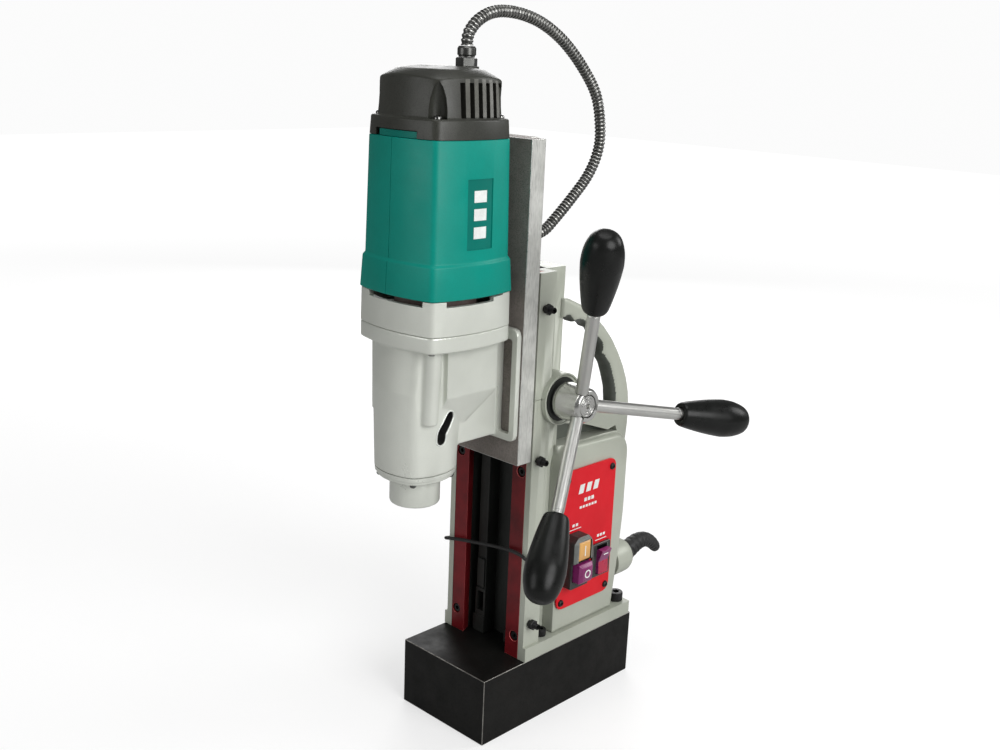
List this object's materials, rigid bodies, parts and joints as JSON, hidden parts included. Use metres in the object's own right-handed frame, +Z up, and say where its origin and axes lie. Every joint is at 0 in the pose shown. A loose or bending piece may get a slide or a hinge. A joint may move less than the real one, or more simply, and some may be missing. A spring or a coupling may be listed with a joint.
{
  "type": "magnetic drill press",
  "caption": "Portable drill press: electromagnet base, column with rack-fed motor and gearbox slide, spoked feed handle, carrying handle and switch panel.",
  "frame": {"origin": "middle of the magnet's underside, where the machine stands on the work", "axes": "+Z up along the spindle; -Y to the front, where the spindle is; +X to the feed handle's side"},
  "size_m": [0.1853, 0.3224, 0.5857],
  "materials": {
    "magnet_black": "satin",
    "copper": "satin",
    "potting": "matte",
    "casting_paint": "satin",
    "strip_red": "satin",
    "screw_black": "satin",
    "slide_steel": "satin",
    "steel": "polished",
    "knob_plastic": "gloss",
    "silver_paint": "satin",
    "teal_plastic": "satin",
    "cap_plastic": "matte",
    "panel_red": "satin",
    "switch_black": "satin",
    "start_amber": "satin",
    "stop_purple": "satin",
    "rubber": "matte",
    "conduit_metal": "satin",
    "board_green": "satin",
    "carbon": "matte"
  },
  "bodies": {
    "stand": {"magnet_housing": "magnet_black", "magnet_coil": "copper", "magnet_potting": "potting", "column": "casting_paint", "rear_housing": "casting_paint", "gib_strip_left": "strip_red", "gib_strip_right": "strip_red", "strip_screw_left_bottom": "screw_black", "strip_screw_left_middle": "screw_black", "strip_screw_left_top": "screw_black", "strip_screw_right_bottom": "screw_black", "strip_screw_right_middle": "screw_black", "strip_screw_right_top": "screw_black", "gib_set_screw_bottom": "screw_black", "gib_set_screw_middle": "screw_black", "gib_set_screw_top": "screw_black", "flange_bolt_front_left": "screw_black", "flange_bolt_front_right": "screw_black", "flange_bolt_rear_left": "screw_black", "flange_bolt_rear_right": "screw_black", "switch_panel": "panel_red", "motor_switch_block": "switch_black", "magnet_switch_frame": "switch_black", "control_board": "board_green", "mains_gland": "casting_paint", "strain_relief": "rubber", "pinion_bush": "slide_steel", "shaft_bearing": "steel", "conduit_gland_lower": "conduit_metal", "motor_conduit": "conduit_metal", "tie_cord": "rubber"},
    "carriage": {"slide_plate": "slide_steel", "feed_rack": "steel", "gearbox_housing": "silver_paint", "gearbox_cover": "silver_paint", "spindle_bearing": "steel", "motor_end_frame": "silver_paint", "motor_housing": "teal_plastic", "top_cap": "cap_plastic", "stator": "slide_steel", "brush_left": "carbon", "brush_right": "carbon", "conduit_gland_upper": "conduit_metal"},
    "feed_handle": {"pinion_shaft": "steel", "feed_hub": "steel", "hub_screw": "steel", "spoke_1": "steel", "spoke_2": "steel", "spoke_3": "steel", "knob_1": "knob_plastic", "knob_2": "knob_plastic", "knob_3": "knob_plastic"},
    "spindle": {"spindle": "silver_paint", "spindle_gear": "steel"},
    "lay_gear": {"intermediate_gear": "steel"},
    "armature": {"armature": "steel", "cooling_fan": "switch_black"},
    "start_button": {"start_button": "start_amber"},
    "stop_button": {"stop_button": "stop_purple"},
    "magnet_rocker": {"magnet_rocker": "stop_purple"}
  },
  "joints": [
    {"name": "feed", "type": "slide", "parent": "stand", "child": "carriage", "axis": [0, 0, 1], "range_m": [-0.16, 0.03], "deforming": ["motor_conduit", "tie_cord"]},
    {"name": "hub_turn", "type": "hinge", "parent": "stand", "child": "feed_handle", "pos_m": [0, -0.019, 0.2845], "axis": [1, 0, 0], "range_deg": [-175, 885]},
    {"name": "spindle_spin", "type": "hinge", "parent": "carriage", "child": "spindle", "pos_m": [0, -0.1314, 0.28], "axis": [0, 0, 1], "continuous": true},
    {"name": "lay_spin", "type": "hinge", "parent": "carriage", "child": "lay_gear", "pos_m": [0.01643, -0.11013, 0.35], "axis": [0, 0, 1], "continuous": true},
    {"name": "armature_spin", "type": "hinge", "parent": "carriage", "child": "armature", "pos_m": [0, -0.1145, 0.42], "axis": [0, 0, 1], "continuous": true},
    {"name": "start_press", "type": "slide", "parent": "stand", "child": "start_button", "axis": [-1, 0, 0], "range_m": [0, 0.003], "stiffness_N_per_m": 400},
    {"name": "stop_press", "type": "slide", "parent": "stand", "child": "stop_button", "axis": [-1, 0, 0], "range_m": [0, 0.003], "stiffness_N_per_m": 400},
    {"name": "magnet_switch", "type": "hinge", "parent": "stand", "child": "magnet_rocker", "pos_m": [0.0465, 0.0455, 0.1265], "axis": [0, 1, 0], "range_deg": [-16, 0]}
  ],
  "couplings": [
    {"joint": "hub_turn", "follows": "feed", "rad_per_m": -95.238},
    {"joint": "lay_spin", "follows": "spindle_spin", "ratio": -3.3},
    {"joint": "armature_spin", "follows": "spindle_spin", "ratio": 10.725}
  ]
}
